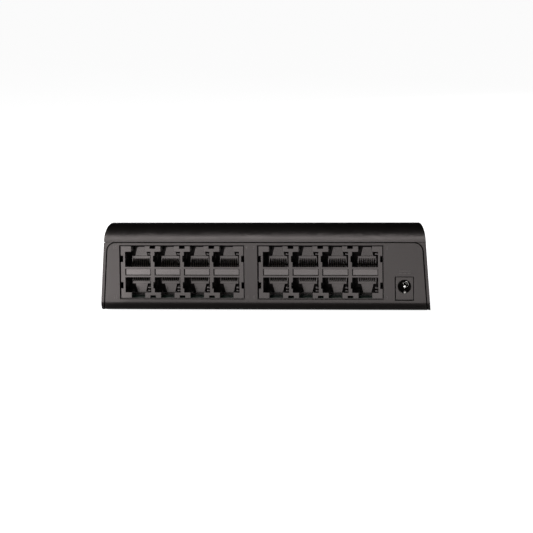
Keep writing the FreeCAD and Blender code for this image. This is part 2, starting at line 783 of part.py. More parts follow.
def build_jack_pins(side):
    """Two rows of solder pins under each column, through the board."""
    x0, y0, z0 = block_corner(side)
    pins = []
    for column in range(int(size("port_count"))):
        for row in range(2):
            for step in range(5):
                x = f"{x0} + {FIRST_PORT} + {column} * port_pitch + ({step} - 2) * pin_pitch - pin_size / 2"
                y = f"{y0} + 16 + {row} * pin_pitch"
                spot = (x, y, f"{z0} - pin_length")
                pins.append(block(f"{side}_pin_{column}_{row}_{step}", spot, "pin_size", "pin_size", "pin_length"))
    keep(f"jack_block_{side}_pins", group(side + "_pins", pins))


def port_place(number):
    """Block side, column and level of a port; odd numbers are the upper ones, 1 at the far right."""
    column = (number - 1) // 2
    side = "right" if column < 4 else "left"
    from_right = column % 4
    return side, 3 - from_right, number % 2 == 1


def build_port_contacts(number):
    """Eight spring wires that lean back from their groove to just under the carrier strip."""
    side, column, upper = port_place(number)
    x0, y0, z0 = block_corner(side)
    body = new_body(f"contacts_{number}")
    front = size("wire_front")
    back = size("wire_back")
    flip = 1 if upper else -1
    rise = size("wire_tip") - size("wire_root")
    gauge = size("wire_gauge")
    bend = back - 1.2
    spring = sketch_on(body, f"spring_{number}", "YZ_Plane", "-wire_width / 2")
    profile = [
        (front, -gauge / 2),
        (front + 0.9, -gauge / 2),
        (bend, rise - gauge),
        (back, rise - gauge),
        (back, rise),
        (bend - 0.1, rise),
        (front + 0.8, gauge / 2),
        (front, gauge / 2),
    ]
    outline(spring, [(y, flip * z) for y, z in profile])
    wire = feature(body, "Pad", f"wire_{number}", spring, "wire_width")
    along_x(body, f"wires_{number}", [wire], "(wire_count - 1) * wire_pitch", "wire_count")
    level = f"{FAR_EDGE} + wire_root" if upper else "port_inset + port_height - wire_root"
    start = f"{x0} + {FIRST_PORT} + {column} * port_pitch - (wire_count - 1) * wire_pitch / 2"
    place(body, start, y0, f"{z0} + {level}")
    keep(f"port_{number:02d}_contacts", body)


# ---- DC inlet ----


def build_dc_inlet():
    """Moulded inlet with a plug hole, its pin, ring contact and leaf spring."""
    face = "-case_depth / 2 + inlet_recess"
    gap = "inlet_gap"
    inlet_box = block(
        "inlet_block",
        (f"inlet_x - inlet_width / 2 + {gap}", face, "board_top"),
        f"inlet_width - 2 * {gap}",
        "inlet_depth",
        f"inlet_top - board_top - {gap}",
    )
    lip = block(
        "inlet_lip",
        (f"inlet_x - inlet_width / 2 + {gap}", face, f"inlet_low + {gap}"),
        f"inlet_width - 2 * {gap}",
        "case_depth / 2 - inlet_recess - board_back - 0.2",
        "board_top - inlet_low",
    )
    shell_box = joined("inlet_moulding", [inlet_box, lip])
    bore = rod("inlet_hole", ("inlet_x", face + " - 1", "inlet_z"), "inlet_bore / 2", "inlet_bore_depth + 1", "back")
    groove = block(
        "leaf_groove",
        ("inlet_x - leaf_width / 2 - 0.3", face + " + 0.7", "inlet_z - inlet_bore / 2 - 1.3"),
        "leaf_width + 0.6",
        "inlet_bore_depth - 0.7",
        "inlet_bore / 2",
    )
    tail_start = face + " + inlet_bore_depth"
    pin_hole = rod("pin_hole", ("inlet_x", tail_start + " - 1", "inlet_z"), "pin_tail", "3", "back")
    keep("dc_jack_housing", less("inlet_body", shell_box, [bore, groove, pin_hole]))

    stem_start = f"{face} + inlet_bore_depth - centre_pin_length + centre_pin / 2"
    stem_length = "centre_pin_length - centre_pin / 2 - neck_length"
    stem = rod("pin_stem", ("inlet_x", stem_start, "inlet_z"), "centre_pin / 2", stem_length, "back")
    neck_start = tail_start + " - neck_length"
    tail = rod("pin_tail_rod", ("inlet_x", neck_start, "inlet_z"), "pin_tail", "neck_length + 2", "back")
    tip = doc.addObject("Part::Sphere", "pin_tip")
    drive(tip, "Radius", "centre_pin / 2")
    place(tip, "inlet_x", stem_start, "inlet_z")
    keep("dc_centre_pin", joined("pin_body", [stem, tail, tip]))

    ring_y = face + " + inlet_bore_depth - ring_length"
    ring_outer = rod("ring_outer", ("inlet_x", ring_y, "inlet_z"), "ring_outer", "ring_length", "back")
    ring_inner = rod("ring_inner", ("inlet_x", ring_y + " - 1", "inlet_z"), "ring_inner", "ring_length + 2", "back")
    keep("dc_ring_contact", less("ring_body", ring_outer, [ring_inner]))

    leaf = new_body("leaf_body")
    side = sketch_on(leaf, "leaf_side", "YZ_Plane", "-leaf_width / 2")
    gauge = size("leaf_gauge")
    root = size("inlet_bore_depth") - 1.9
    low = -size("inlet_bore") / 2 - 0.55
    crest = -size("inlet_bore") / 2 + 0.75
    upper = [(root, low), (root - 1.0, low), (3.2, crest), (2.2, crest), (1.1, low + 0.35)]
    lower = [(y, z - gauge) for y, z in reversed(upper)]
    outline(side, upper + lower)
    feature(leaf, "Pad", "leaf_pad", side, "leaf_width")
    place(leaf, "inlet_x", face, "inlet_z")
    keep("dc_leaf_spring", leaf)


# ---- Board and what stands on it ----


def build_main_board():
    """Tapered board, notched round the screw posts."""
    plate = doc.addObject("Part::Wedge", "board_plate")
    for path, rule in (
        ("Xmin", "-board_wide"),
        ("Xmax", "board_wide"),
        ("X2min", "-board_narrow"),
        ("X2max", "board_narrow"),
        ("Ymin", "-board_back"),
        ("Ymax", "board_front"),
        ("Zmin", "board_top - board_gauge"),
        ("Zmax", "board_top"),
        ("Z2min", "board_top - board_gauge"),
        ("Z2max", "board_top"),
    ):
        drive(plate, path, rule)
    holes = []
    for side, end, x, y in POSTS:
        holes.append(rod(f"board_notch_{end}_{side}", (x, y, "0"), "post_radius + 1.2", "20"))
    for name, x, y in BOARD_SCREWS:
        holes.append(rod("board_hole_" + name, (x, y, "0"), "1.6", "20"))
    keep("main_board", less("board_body", plate, holes))


def chip(name, x, y, width, depth, height, lift="0"):
    """Flat component centred on a spot of the board."""
    low = (f"{x} - {width} / 2", f"{y} - {depth} / 2", f"board_top + {lift}")
    return block(name, low, width, depth, height)


def build_switch_chip():
    """Switch processor with its pad and a finned heatsink."""
    keep("switch_chip", chip("switch_chip_body", 0, 12, 20, 20, 1.6))
    keep("thermal_pad", chip("thermal_pad_body", 0, 12, 18, 18, 0.5, "1.6"))
    fins = [chip("heatsink_base", 0, 12, 26, 26, 1.6, "2.1")]
    for index in range(7):
        fins.append(chip(f"heatsink_fin_{index}", f"(-12 + {index} * 4)", 12, 1.2, 26, 8, "3.5"))
    keep("heatsink", joined("heatsink_body", fins))
    keep("memory_chip", chip("memory_chip_body", 24, 20, 6, 5, 1.5))


def build_board_parts():
    """Transformers, capacitors, inductor, crystal, regulators, LEDs and small parts."""
    modules = []
    for side in SIDES:
        for column in range(4):
            x = f"({side}_block_x + {FIRST_PORT} + {column} * port_pitch)"
            modules.append(chip(f"{side}_transformer_{column}", x, -15, 12.6, 11, 5.6))
    keep("lan_transformers", group("transformer_set", modules))

    cans = []
    for index, (x, y, radius, height) in enumerate(((66, -29, 4, 11.5), (57.6, -3, 3.15, 9), (57.6, 6, 3.15, 9))):
        cans.append(rod(f"capacitor_{index}", (x, y, "board_top"), radius, height))
    keep("capacitors", group("capacitor_set", cans))
    keep("inductor", chip("inductor_body", 47, 3, 10, 10, 4.5))
    keep("crystal", chip("crystal_body", -20, 20, 11, 4.5, 3.5))
    regulators = [chip("regulator_0", 45, 14, 6.5, 6, 1.7), chip("regulator_1", 34, 8, 5, 4, 1.5)]
    keep("regulators", group("regulator_set", regulators))
    small = []
    for column in range(16):
        for row in range(2):
            x = f"(-58 + {column} * 7.2)"
            small.append(chip(f"small_part_{column}_{row}", x, f"(-6.5 + {row} * 3)", 1.6, 0.8, 0.6))
    keep("small_parts", group("small_part_set", small))
    lights = []
    for index in range(int(size("light_count"))):
        x = f"(({index} - (light_count - 1) / 2) * light_pitch)"
        lights.append(chip(f"light_{index}", x, 41.3, 2.0, 1.6, 1.1))
    keep("status_leds", group("light_set", lights))


def build_light_pipes():
    """One clear moulding: a bar across seventeen short pipes from the LEDs to the window."""
    body = new_body("pipes_body")
    profile = sketch_on(body, "pipe_side", "YZ_Plane", "-1.2 - (light_count - 1) * light_pitch / 2")
    back = 40.2
    front = size("case_depth") / 2 - size("wall") - 0.3
    low = size("board_top") + 1.5
    outline(profile, [(back, low), (front, low + 0.9), (front, low + 3.3), (back + 2.4, low + 3.3)])
    pipe = feature(body, "Pad", "pipe", profile, "2.4")
    along_x(body, "pipes", [pipe], "(light_count - 1) * light_pitch", "light_count")
    tie = sketch_on(body, "tie_side", "YZ_Plane", "-(light_count - 1) * light_pitch / 2")
    outline(tie, [(44.5, low + 2.6), (46.5, low + 2.6), (46.5, low + 4.4), (44.5, low + 4.4)])
    feature(body, "Pad", "tie", tie, "(light_count - 1) * light_pitch")
    keep("light_pipes", body)


def build_front_window():
    """Smoked strip that closes the LED slot from outside, just inside the case's face."""
    gap = "0.1"
    low = (f"-window_half + {gap}", "case_depth / 2 - wall + 0.1", f"window_low + {gap}")
    keep(
        "led_window",
        block("window_body", low, f"2 * window_half - 2 * {gap}", "wall - 0.3", f"window_height - 2 * {gap}"),
    )


# ---- Fasteners, feet and label ----


def screw(name, x, y, low, head_radius, head, shank_radius, shank):
    """Pan-head screw standing on its head, with a cross recess."""
    cap = rod(name + "_cap", (x, y, low), head_radius, head)
    stem = rod(name + "_stem", (x, y, f"{low} + {head}"), shank_radius, shank)
    solid = joined(name + "_solid", [cap, stem])
    arms = [
        block(f"{name}_arm_{turn}", (f"{x} - {u}", f"{y} - {v}", f"{low} - 1"), f"2 * {u}", f"2 * {v}", "1.9")
        for turn, u, v in ((0, 1.5, 0.4), (1, 0.4, 1.5))
    ]
    return less(name, solid, [joined(name + "_cross", arms)])


def board_screw(name, x, y):
    """Small pan-head screw that holds the board down on its boss."""
    stem = rod(name + "_stem", (x, y, "board_top - 4.2"), "0.9", "4.4")
    cap = rod(name + "_cap", (x, y, "board_top"), "2.2", "1.3")
    arm = block(name + "_slot", (f"{x} - 1.5", f"{y} - 0.25", "board_top + 0.7"), 3, 0.5, 2)
    return less(name, joined(name + "_solid", [stem, cap]), [arm])


def build_fasteners():
    """Case screws, board screws, rubber feet and the blank rating label."""
    low = "foot_height + well_depth - 2.2"
    case_screws = [
        screw(f"case_screw_{end}_{side}", x, y, low, "screw_head", "2.2", "screw_shank", "17")
        for side, end, x, y in POSTS
    ]
    keep("case_screws", group("case_screw_set", case_screws))
    board_screws = [board_screw("board_screw_" + name, x, y) for name, x, y in BOARD_SCREWS]
    keep("board_screws", group("board_screw_set", board_screws))
    feet = []
    for end in ("rear", "front"):
        for side, sign in (("left", "-"), ("right", "")):
            spot = (f"{sign}{end}_foot_x", f"{end}_foot_y", "0")
            name = f"foot_{end}_{side}"
            pad = cone(name + "_taper", spot, "foot_radius - 0.6", "foot_radius", "0.6")
            top = rod(name + "_top", (spot[0], spot[1], "0.6"), "foot_radius", "foot_height + foot_sunk - 0.6")
            feet.append(joined(name, [pad, top]))
    keep("rubber_feet", group("feet_set", feet))
    keep("rating_label", block("label_body", (-25, -36, "foot_height - 0.1"), 50, 24, 0.1))


build_top_cover()
build_base_case()
build_rear_panel()
for block_side in SIDES:
    build_jack_housing(block_side)
    build_jack_inserts(block_side)
    build_jack_pins(block_side)
for port_number in range(1, 17):
    build_port_contacts(port_number)
build_dc_inlet()
build_main_board()
build_switch_chip()
build_board_parts()
build_light_pipes()
build_front_window()
build_fasteners()

doc.recompute()

faults = [item.Name for item in doc.Objects if {"Invalid", "Error"} & set(item.State)]
if faults:
    raise SystemExit("features failed: " + ", ".join(faults))
for node, thing in parts.items():
    if thing.Shape.isNull() or not thing.Shape.isValid() or not thing.Shape.Solids:
        raise SystemExit("bad shape: " + node)

os.makedirs("parts", exist_ok=True)
for node, thing in parts.items():
    thing.Shape.exportStep(f"parts/{node}.step")
print(len(parts), "sub-parts written")
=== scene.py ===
import math

import bmesh
import bpy
from mathutils import Matrix, Vector


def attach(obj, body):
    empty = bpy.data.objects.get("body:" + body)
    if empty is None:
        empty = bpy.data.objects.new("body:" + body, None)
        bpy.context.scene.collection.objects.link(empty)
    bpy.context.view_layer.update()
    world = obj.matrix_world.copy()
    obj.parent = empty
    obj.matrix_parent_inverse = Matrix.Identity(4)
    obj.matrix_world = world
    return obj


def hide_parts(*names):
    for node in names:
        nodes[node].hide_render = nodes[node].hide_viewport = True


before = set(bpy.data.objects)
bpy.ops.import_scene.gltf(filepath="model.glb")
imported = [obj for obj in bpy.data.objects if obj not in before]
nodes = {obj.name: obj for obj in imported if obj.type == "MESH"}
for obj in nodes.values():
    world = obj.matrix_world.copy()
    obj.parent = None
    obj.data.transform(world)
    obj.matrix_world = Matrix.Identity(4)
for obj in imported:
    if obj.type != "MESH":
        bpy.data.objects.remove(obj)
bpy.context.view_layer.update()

# ---- Top cover ----
# The hood of the case: one injection-moulded shell of black plastic with a fine satin texture.
# It rolls down over the jack side, and screws from below hold it to the base.

CASE = "switch_case"
MM = 0.001


def shader_group(name, inputs, outputs):
    """Empty node group with named inputs (name, default value) and named outputs."""
    group = bpy.data.node_groups.new(name, "ShaderNodeTree")
    for label, default in inputs:
        socket = group.interface.new_socket(label, in_out="INPUT", socket_type="NodeSocketFloat")
        socket.default_value = default
    for label in outputs:
        group.interface.new_socket(label, in_out="OUTPUT", socket_type="NodeSocketFloat")
    return group, group.nodes.new("NodeGroupInput"), group.nodes.new("NodeGroupOutput")


def put(tree, kind, links=(), settings=(), values=()):
    """New node in a tree: its settings, its unlinked input values, and its incoming links."""
    node = tree.nodes.new(kind)
    for key, value in settings:
        setattr(node, key, value)
    for socket, value in values:
        node.inputs[socket].default_value = value
    for socket, source in links:
        tree.links.new(source, node.inputs[socket])
    return node


def noise(tree, place, scale, detail, roughness=0.5):
    """Noise at a place on the piece. The scale, in lumps per metre, is a number or a socket."""
    links = [("Vector", place)]
    values = [("Detail", detail), ("Roughness", roughness)]
    if isinstance(scale, float):
        values.append(("Scale", scale))
    else:
        links.append(("Scale", scale))
    return put(tree, "ShaderNodeTexNoise", links, values=values).outputs["Fac"]


def rescaled(tree, source, low, high, to_low=0.0, to_high=1.0):
    """Value moved from one range to another and held inside it."""
    values = [("From Min", low), ("From Max", high), ("To Min", to_low), ("To Max", to_high)]
    return put(tree, "ShaderNodeMapRange", [("Value", source)], values=values).outputs[0]


def product(tree, first, second):
    """Product of two sockets."""
    multiply = [("operation", "MULTIPLY")]
    return put(tree, "ShaderNodeMath", [(0, first), (1, second)], multiply).outputs[0]


MOTTLE_SCALE = 90.0
SPECKLE_SCALE = 380.0


def mould_texture_group():
    """Spark-eroded mould finish: fine height for the grain, broad mottle for tone and gloss."""
    group, given, result = shader_group("mould_texture", [("Grain mm", 0.3)], ["Height", "Mottle"])
    place = put(group, "ShaderNodeTexCoord").outputs["Object"]
    divide = [("operation", "DIVIDE")]
    grain = given.outputs["Grain mm"]
    grains = put(group, "ShaderNodeMath", [(1, grain)], divide, [(0, 1 / MM)]).outputs[0]
    group.links.new(noise(group, place, grains, 2.0), result.inputs["Height"])
    group.links.new(noise(group, place, MOTTLE_SCALE, 5.0, 0.65), result.inputs["Mottle"])
    return group


def handling_group():
    """Rubbed edges where the piece is marked as an edge, and dust that settles on level faces."""
    levels = [("Rub", 0.6), ("Dust", 0.05)]
    group, given, result = shader_group("handling", levels, ["Rubbed", "Dusty"])
    place = put(group, "ShaderNodeTexCoord").outputs["Object"]
    patchy = rescaled(group, noise(group, place, SPECKLE_SCALE, 6.0, 0.7), 0.35, 0.7)
    edge = put(group, "ShaderNodeAttribute", settings=[("attribute_name", "worn_edge")])
    rubbed = product(group, product(group, edge.outputs["Fac"], patchy), given.outputs["Rub"])
    normal = put(group, "ShaderNodeNewGeometry").outputs["Normal"]
    upward = put(group, "ShaderNodeSeparateXYZ", [(0, normal)]).outputs["Z"]
    level = rescaled(group, upward, 0.8, 1.0)
    dusty = product(group, product(group, level, patchy), given.outputs["Dust"])
    group.links.new(rubbed, result.inputs["Rubbed"])
    group.links.new(dusty, result.inputs["Dusty"])
    return group


MOULD_TEXTURE = mould_texture_group()
HANDLING = handling_group()


def shade(tree, factor, first, second):
    """Colour mix: each side is a colour or a socket."""
    mix = put(tree, "ShaderNodeMix", [("Factor", factor)], [("data_type", "RGBA")])
    for socket, colour in ((6, first), (7, second)):
        if isinstance(colour, tuple):
            mix.inputs[socket].default_value = (*colour, 1.0)
        else:
            tree.links.new(colour, mix.inputs[socket])
    return mix.outputs[2]


def new_material(name):
    """New material, with its node tree and its shader."""
    material = bpy.data.materials.new(name)
    material.use_nodes = True
    tree = material.node_tree
    return material, tree, tree.nodes["Principled BSDF"]


SHEEN_TINT = (1.0, 0.91, 0.895, 1.0)
DUST_GREY = (0.30, 0.29, 0.27)
GLOSS_SPREAD = 0.03
RELIEF_DEPTH = 0.04
DARK_SHARE = 0.85
LIGHT_SHARE = 1.15
RUBBED_SHARE = 2.2
RUBBED_LIFT = 0.01


def moulded_plastic(
    name, colour, roughness, grain=0.3, relief=0.15, specular=0.5, rub=0.6, dust=0.05, hollow_shade=None
):
    """Moulded plastic with mould grain, mottled gloss, rubbed edges and a little dust.

    The last argument is (first y, last y, sheen left), in millimetres: painted shade inside a
    cavity, where the specular level falls with depth.
    """
    material, tree, shader = new_material(name)
    shader.inputs["Specular IOR Level"].default_value = specular
    shader.inputs["Specular Tint"].default_value = SHEEN_TINT
    texture = put(
        tree,
        "ShaderNodeGroup",
        settings=[("node_tree", MOULD_TEXTURE)],
        values=[("Grain mm", grain)],
    )
    handling = put(
        tree,
        "ShaderNodeGroup",
        settings=[("node_tree", HANDLING)],
        values=[("Rub", rub), ("Dust", dust)],
    )
    mottle = texture.outputs["Mottle"]
    dark = tuple(channel * DARK_SHARE for channel in colour)
    light = tuple(channel * LIGHT_SHARE for channel in colour)
    bare = tuple(channel * RUBBED_SHARE + RUBBED_LIFT for channel in colour)
    tone = shade(tree, mottle, dark, light)
    tone = shade(tree, handling.outputs["Rubbed"], tone, bare)
    tone = shade(tree, handling.outputs["Dusty"], tone, DUST_GREY)
    tree.links.new(tone, shader.inputs["Base Color"])
    gloss = rescaled(tree, mottle, 0.3, 0.7, roughness - GLOSS_SPREAD, roughness + GLOSS_SPREAD)
    tree.links.new(gloss, shader.inputs["Roughness"])
    bump = put(
        tree,
        "ShaderNodeBump",
        [("Height", texture.outputs["Height"])],
        values=[("Strength", relief), ("Distance", RELIEF_DEPTH * MM)],
    )
    tree.links.new(bump.outputs[0], shader.inputs["Normal"])
    # Painted shade: the specular level falls with depth along y, so that the insides of the jacks
    # and the inlet stay dark.
    if hollow_shade:
        mouth, bottom, sheen_left = hollow_shade
        place = put(tree, "ShaderNodeTexCoord").outputs["Object"]
        inward = put(tree, "ShaderNodeSeparateXYZ", [(0, place)]).outputs["Y"]
        sheen = rescaled(tree, inward, mouth * MM, bottom * MM, specular, sheen_left)
        tree.links.new(sheen, shader.inputs["Specular IOR Level"])
    return material


def soften(shape, edges, width_mm, segments=1):
    """Rounds the stated edges, or chamfers them with one segment."""
    return bmesh.ops.bevel(
        shape,
        geom=edges,
        offset=width_mm * MM,
        offset_type="OFFSET",
        segments=segments,
        profile=0.5,
        affect="EDGES",
        clamp_overlap=True,
        material=-1,
    )


def mesh_of(shape, name):
    """Mesh of a shape that is done."""
    mesh = bpy.data.meshes.new(name)
    shape.to_mesh(mesh)
    shape.free()
    return mesh


def linked(name, data):
    """Object at the origin, unturned, in the scene."""
    thing = bpy.data.objects.new(name, data)
    bpy.context.scene.collection.objects.link(thing)
    return thing


COPY_WELD = 0.002
FLAT_WITHIN = math.radians(0.3)
SHARP_FROM = math.radians(30)
CREASED_FROM = math.radians(35)


def finished(node, material, edge_mm, segments=2, body=CASE):
    """Finished copy of a CAD piece: merged, flat faces joined, sharp edges rounded and marked."""
    shape = bmesh.new()
    shape.from_mesh(nodes[node].data)
    bmesh.ops.remove_doubles(shape, verts=shape.verts, dist=COPY_WELD * MM)
    bmesh.ops.dissolve_limit(
        shape, angle_limit=FLAT_WITHIN, verts=shape.verts, edges=shape.edges
    )
    bmesh.ops.recalc_face_normals(shape, faces=shape.faces)
    marks = shape.faces.layers.float.new("worn_edge")
    sharp = [
        edge
        for edge in shape.edges
        if edge.is_manifold and edge.calc_face_angle(0.0) > SHARP_FROM
    ]
    rounded = soften(shape, sharp, edge_mm, segments)
    for face in rounded["faces"]:
        face[marks] = 1.0
    for face in shape.faces:
        face.smooth = True
    mesh = mesh_of(shape, node + "_finished")
    mesh.set_sharp_from_angle(angle=CREASED_FROM)
    mesh.materials.append(material)
    piece = linked(node + "_finished", mesh)
    weighting = piece.modifiers.new("weighted_normals", "WEIGHTED_NORMAL")
    weighting.keep_sharp = True
    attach(piece, body)
    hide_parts(node)
    return piece


case_black = moulded_plastic("case_black", (0.0031, 0.0026, 0.0025), 0.33)
finished("top_cover", case_black, 0.22, segments=3)

# ---- Base case ----
# The lower shell, moulded in the same black plastic: floor, leaning sides and LED side, with its
# vents, keyholes and foot seats.

finished("base_case", case_black, 0.2)

# ---- Rear panel ----
# A separate moulding let into the jack side. It is black plastic too, from a slightly finer
# mould, and its foot rolls under the case.

PANEL_FACE = -52.25
panel_black = moulded_plastic("panel_black", (0.0045, 0.0038, 0.0036), 0.34, grain=0.25)
finished("rear_panel", panel_black, 0.12)

# ---- Port numbers ----
# Small numbers moulded with the panel, in two rows beside the jack blocks. They are cut into the
# mould, so they stand 0.12 mm proud of the panel.

MARK_RISE = 0.12
NUMBER_HEIGHT = 1.5
NUMBER_PLACES = [
    ("15", -70.6, 30.8),
    ("16", -70.8, 7.3),
    ("9", -8.3, 30.6),
    ("10", -8.3, 7.4),
    ("7", -4.8, 30.6),
    ("8", -4.9, 7.4),
    ("1", 57.7, 30.4),
    ("2", 57.4, 7.3),
]
CAPITAL_SHARE = 0.7
GATHER_WELD = 0.001
QUARTER_TURN = math.radians(90)


def upright(x_mm, z_mm):
    """Turns a flat mark drawn in XY so that it stands on the jack side at x and z."""
    spot = Matrix.Translation((x_mm * MM, PANEL_FACE * MM, z_mm * MM))
    return spot @ Matrix.Rotation(QUARTER_TURN, 4, "X")


def lettering(text, height_mm, thickness_mm, bevel_mm=0.02):
    """Mesh of a short number, centred on the origin in XY and half its thickness above it."""
    curve = bpy.data.curves.new("number_" + text, "FONT")
    curve.body = text
    curve.size = height_mm * MM / CAPITAL_SHARE
    curve.align_x = "CENTER"
    curve.align_y = "CENTER"
    curve.extrude = thickness_mm * MM / 2
    curve.bevel_depth = bevel_mm * MM
    curve.bevel_resolution = 0
    curve.resolution_u = 3
    carrier = bpy.data.objects.new("number_" + text, curve)
    mesh = bpy.data.meshes.new_from_object(carrier)
    bpy.data.objects.remove(carrier)
    return mesh


def gathered(name, meshes, material, body=CASE):
    """One piece from several placed meshes, merged and with its faces pointing outwards."""
    shape = bmesh.new()
    for mesh, matrix in meshes:
        mesh.transform(matrix)
        shape.from_mesh(mesh)
    bmesh.ops.remove_doubles(shape, verts=shape.verts, dist=GATHER_WELD * MM)
    bmesh.ops.recalc_face_normals(shape, faces=shape.faces)
    result = mesh_of(shape, name)
    result.materials.append(material)
    piece = linked(name, result)
    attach(piece, body)
    return piece


mark_black = moulded_plastic("mark_black", (0.034, 0.031, 0.03), 0.36, relief=0.0, rub=0.0)
numbers = [
    (lettering(text, NUMBER_HEIGHT, MARK_RISE), upright(x, z)) for text, x, z in NUMBER_PLACES
]
gathered("port_numbers", numbers, mark_black)

# ---- Direct-current sign ----
# One long bar over three short ones, moulded with the panel above the DC inlet. The bars have
# rounded ends and are as high as the port numbers.

SIGN_MIDDLE = (65.8, 19.3)
SIGN_BARS = [(0.0, 0.55, 5.4), (-2.0, -0.55, 1.4), (0.0, -0.55, 1.4), (2.0, -0.55, 1.4)]
BAR_WIDTH = 0.34
BAR_END_RADIUS = 0.15
BAR_RIM = 0.03


def raised_bar(x_mm, z_mm, length_mm):
    """Raised bar with rounded ends and softened upper edges."""
    shape = bmesh.new()
    size = Matrix.Diagonal((length_mm * MM, BAR_WIDTH * MM, 2 * MARK_RISE * MM, 1.0))
    bmesh.ops.create_cube(shape, size=1.0, matrix=size)
    half_rise = 0.5 * MARK_RISE * MM
    corners = [
        edge
        for edge in shape.edges
        if abs(edge.verts[0].co.z - edge.verts[1].co.z) > half_rise
    ]
    soften(shape, corners, BAR_END_RADIUS, segments=4)
    rims = [edge for edge in shape.edges if min(vert.co.z for vert in edge.verts) > half_rise]
    soften(shape, rims, BAR_RIM)
    return mesh_of(shape, "raised_bar"), upright(SIGN_MIDDLE[0] + x_mm, SIGN_MIDDLE[1] + z_mm)


bars = [raised_bar(*bar) for bar in SIGN_BARS]
gathered("direct_current_sign", bars, mark_black)

# ---- Ejector ring ----
# The witness that an ejector pin leaves in the rolled foot of the panel, at the right: a fine
# raised ring in the same plastic.

RING_X = 74.6
RING_RADIUS = 1.3
RING_THICKNESS = 0.07
RING_TURN = math.radians(23)
HEEL_RADIUS = 4.5
HEEL_MIDDLE = (PANEL_FACE + HEEL_RADIUS, 5.5)


def ejector_ring():
    """Thin ring bent onto the rolled foot of the panel."""
    shape = bmesh.new()
    standing = Matrix.Rotation(QUARTER_TURN, 4, "X")
    bmesh.ops.create_circle(shape, segments=6, radius=RING_THICKNESS, matrix=standing)
    bmesh.ops.translate(shape, verts=shape.verts, vec=(RING_RADIUS, 0, 0))
    bmesh.ops.spin(
        shape,
        geom=shape.verts[:] + shape.edges[:],
        cent=(0, 0, 0),
        axis=(0, 0, 1),
        angle=math.tau,
        steps=36,
        use_merge=True,
        use_duplicate=False,
    )
    bmesh.ops.recalc_face_normals(shape, faces=shape.faces)
    for vert in shape.verts:
        along, down, rise = vert.co
        turn = RING_TURN + down / HEEL_RADIUS
        reach = HEEL_RADIUS + rise
        behind = HEEL_MIDDLE[0] - reach * math.cos(turn)
        height = HEEL_MIDDLE[1] - reach * math.sin(turn)
        vert.co = Vector((RING_X + along, behind, height)) * MM
    for face in shape.faces:
        face.smooth = True
    return mesh_of(shape, "ejector_ring")


ring = [(ejector_ring(), Matrix.Identity(4))]
gathered("ejector_ring", ring, panel_black)

# ---- Jack blocks ----
# Two stacked 2 x 4 housings in black glass-filled plastic. An insert behind each column carries
# its contacts, and a blank bar is pressed in between the upper and the lower port.

# jack_black and insert_black turn their sheen down with depth: painted shade inside the ports.
jack_black = moulded_plastic(
    "jack_black",
    (0.005, 0.0043, 0.0041),
    0.22,
    grain=0.18,
    relief=0.1,
    specular=0.62,
    hollow_shade=(-50.0, -46.5, 0.28),
)
# Painted shade here too: the sheen falls with depth inside the insert.
insert_black = moulded_plastic(
    "insert_black",
    (0.006, 0.0053, 0.005),
    0.22,
    grain=0.18,
    relief=0.08,
    specular=0.62,
    hollow_shade=(-40.0, -37.0, 0.06),
)
bar_black = moulded_plastic(
    "bar_black", (0.014, 0.0132, 0.013), 0.2, grain=0.18, relief=0.05, specular=0.85
)
for side in ("left", "right"):
    block = f"jack_block_{side}"
    finished(f"{block}_housing", jack_black, 0.06, segments=1)
    finished(f"{block}_inserts", insert_black, 0.06, segments=1)
    finished(f"{block}_spacers", bar_black, 0.12)

# ---- Contact combs ----
# Nine fine teeth on the carrier strip of each port, moulded with the insert in black plastic.
# They keep the port's eight contacts apart.

comb_black = moulded_plastic(
    "comb_black", (0.024, 0.022, 0.021), 0.2, grain=0.18, relief=0.05, specular=0.9
)
PORT_PITCH = 13.97
FIRST_PORTS = {"left": -59.955, "right": 5.345}
UPPER_WALL = 21.5
LOWER_WALL = 16.6
COMB_Y = -40.95
TEETH = 9
TOOTH_PITCH = 1.02
TOOTH_SIZE = (0.5, 0.7, 2.5)
TOOTH_EDGE = 0.06
TOOTH_MIDDLE = 1.75


def comb(x_mm, wall_mm, way):
    """Row of teeth centred on a port, above (1) or below (-1) the wall next to the blank bar."""
    shape = bmesh.new()
    size = Matrix.Diagonal([length * MM for length in TOOTH_SIZE] + [1.0])
    height = wall_mm + way * TOOTH_MIDDLE
    for number in range(TEETH):
        across = x_mm + (number - TEETH // 2) * TOOTH_PITCH
        spot = Matrix.Translation(Vector((across, COMB_Y, height)) * MM)
        bmesh.ops.create_cube(shape, size=1.0, matrix=spot @ size)
    soften(shape, shape.edges[:], TOOTH_EDGE)
    return mesh_of(shape, "comb"), Matrix.Identity(4)


for side, first in FIRST_PORTS.items():
    combs = []
    for column in range(4):
        middle = first + column * PORT_PITCH
        combs.append(comb(middle, UPPER_WALL, 1))
        combs.append(comb(middle, LOWER_WALL, -1))
    gathered(f"contact_combs_{side}", combs, comb_black)

# ---- Sprung contacts and solder pins ----
# Eight bronze wires in each port, flashed with gold over nickel, that lean back to the carrier
# strip. Tinned pins go down through the board.


def bare_metal(name, colour, stained, roughness, spread=0.08, grain=1100.0):
    """Plated metal with a little tarnish and uneven gloss."""
    material, tree, shader = new_material(name)
    shader.inputs["Metallic"].default_value = 1.0
    place = put(tree, "ShaderNodeTexCoord").outputs["Object"]
    stain = noise(tree, place, grain, 3.0)
    tree.links.new(shade(tree, stain, colour, stained), shader.inputs["Base Color"])
    gloss = rescaled(tree, stain, 0.0, 1.0, roughness - spread, roughness + spread)
    tree.links.new(gloss, shader.inputs["Roughness"])
    return material


def clothe(names, material):
    """Gives carried-over CAD pieces their material."""
    for name in names:
        nodes[name].data.materials.clear()
        nodes[name].data.materials.append(material)


